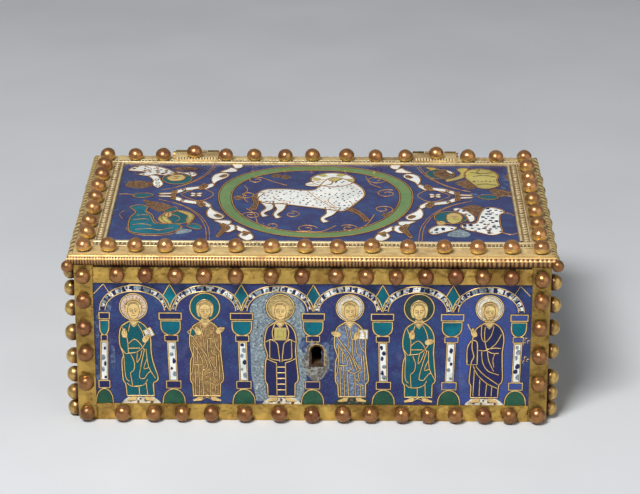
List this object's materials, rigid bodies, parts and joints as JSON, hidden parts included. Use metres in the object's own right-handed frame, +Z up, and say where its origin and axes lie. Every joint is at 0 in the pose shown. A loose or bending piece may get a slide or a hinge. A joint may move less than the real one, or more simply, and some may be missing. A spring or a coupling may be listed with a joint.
{
  "type": "reliquary casket",
  "caption": "Rectangular enamelled casket with a hinged flat lid, nailed gilt edge strips, ball-headed nails, a ribbed lid moulding and a keyhole in front.",
  "frame": {"origin": "centre of the underside, on the surface the casket stands on", "axes": "+Z up, +X to the right along the front, the front with the keyhole faces -Y and the hinges are at +Y"},
  "size_m": [0.2208, 0.1399, 0.0871],
  "materials": {
    "enamelled_copper": "gilt copper plate with glossy enamel in sunk fields",
    "gilt_copper": "worn gilding, satin, with dark specks and fine scratches",
    "warm_gilt_copper": "worn reddish gilding, satin",
    "oak": "old bare oak, matt"
  },
  "bodies": {
    "casket": {"box_core": "oak", "front_plate": "enamelled_copper", "back_plate": "enamelled_copper", "left_plate": "enamelled_copper", "right_plate": "enamelled_copper", "front_strip_left": "gilt_copper", "front_strip_right": "gilt_copper", "front_strip_top": "gilt_copper", "front_strip_bottom": "gilt_copper", "right_strip_left": "gilt_copper", "right_strip_right": "gilt_copper", "right_strip_top": "gilt_copper", "right_strip_bottom": "gilt_copper", "back_strip_left": "gilt_copper", "back_strip_right": "gilt_copper", "back_strip_top": "gilt_copper", "back_strip_bottom": "gilt_copper", "left_strip_left": "gilt_copper", "left_strip_right": "gilt_copper", "left_strip_top": "gilt_copper", "left_strip_bottom": "gilt_copper", "hinge_leaf_left": "warm_gilt_copper", "hinge_leaf_right": "warm_gilt_copper", "hinge_pin_left": "warm_gilt_copper", "hinge_pin_right": "warm_gilt_copper"},
    "lid": {"lid_board": "oak", "lid_plate": "enamelled_copper", "lid_border_front": "warm_gilt_copper", "lid_border_back": "warm_gilt_copper", "lid_border_left": "warm_gilt_copper", "lid_border_right": "warm_gilt_copper", "lid_moulding_front": "warm_gilt_copper", "lid_moulding_right": "warm_gilt_copper", "lid_moulding_back": "warm_gilt_copper", "lid_moulding_left": "warm_gilt_copper", "hinge_strap_left": "warm_gilt_copper", "hinge_strap_right": "warm_gilt_copper"}
  },
  "joints": [
    {"name": "lid_hinge", "type": "hinge", "parent": "casket", "child": "lid", "pos_m": [0, 0.069, 0.079], "axis": [-1, 0, 0], "range_deg": [0, 105]}
  ]
}
